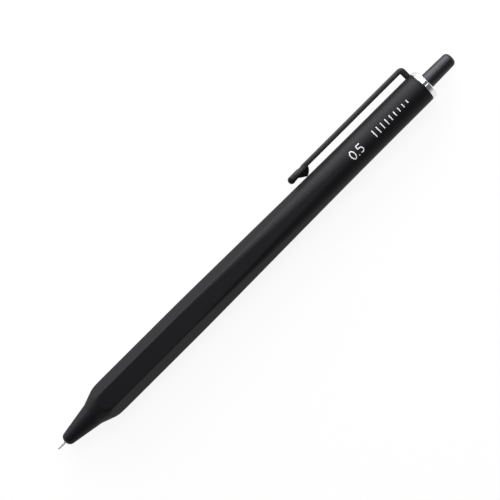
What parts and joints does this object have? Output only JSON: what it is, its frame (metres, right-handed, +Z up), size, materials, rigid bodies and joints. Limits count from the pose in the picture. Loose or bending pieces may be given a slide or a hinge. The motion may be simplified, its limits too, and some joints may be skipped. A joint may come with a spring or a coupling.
{
  "type": "gel pen",
  "caption": "Retractable needle-point gel pen with a hexagonal grip that fades into a round barrel, side clip, bright collar and push button.",
  "frame": {"origin": "on the desk, on the flat of the barrel that the pen lies on, below the middle of its length with the needle out", "axes": "+X along the pen from the writing point to the button, +Y to the clip side, +Z up from the desk"},
  "size_m": [0.1422, 0.0125, 0.0086],
  "materials": {
    "soft_black": "matte",
    "black_metal": "satin",
    "bright_chrome": "polished",
    "button_black": "satin",
    "needle_steel": "satin",
    "ball_carbide": "polished",
    "spring_steel": "satin",
    "white_plastic": "satin",
    "blue_plastic": "satin",
    "clear_plastic": "gloss",
    "ink": "gloss",
    "grease": "gloss"
  },
  "bodies": {
    "barrel": {"barrel": "soft_black", "nose_cone": "soft_black", "needle_bush": "white_plastic", "clip_ring": "black_metal", "top_collar": "bright_chrome", "cam_sleeve": "white_plastic", "return_spring": "spring_steel"},
    "refill": {"refill_tube": "clear_plastic", "tip_holder": "white_plastic", "needle_tube": "needle_steel", "gel_ink": "ink", "ink_follower": "grease", "follower_float": "clear_plastic", "tail_plug": "white_plastic", "ball_spring": "spring_steel"},
    "ball": {"tip_ball": "ball_carbide"},
    "cam": {"rotor_cam": "blue_plastic"},
    "button": {"push_button": "button_black", "plunger": "white_plastic"},
    "clip": {"clip": "black_metal"}
  },
  "joints": [
    {"name": "refill_slide", "type": "slide", "parent": "barrel", "child": "refill", "axis": [1, 0, 0], "range_m": [-0.0015, 0.0055], "deforming": ["return_spring"]},
    {"name": "cam_slide", "type": "slide", "parent": "barrel", "child": "cam", "axis": [1, 0, 0], "range_m": [-0.0015, 0.0055]},
    {"name": "button_slide", "type": "slide", "parent": "barrel", "child": "button", "axis": [1, 0, 0], "range_m": [-0.0015, 0.0055]},
    {"name": "ball_roll", "type": "hinge", "parent": "refill", "child": "ball", "pos_m": [-0.0709, 0, 0.0043], "axis": [0, 1, 0], "continuous": true},
    {"name": "clip_flex", "type": "hinge", "parent": "barrel", "child": "clip", "pos_m": [0.06045, 0.00435, 0.0043], "axis": [0, 0, -1], "range_deg": [0, 3], "stiffness_Nm_per_rad": 2}
  ],
  "couplings": [
    {"joint": "cam_slide", "follows": "refill_slide", "ratio": 1},
    {"joint": "button_slide", "follows": "refill_slide", "ratio": 1}
  ]
}
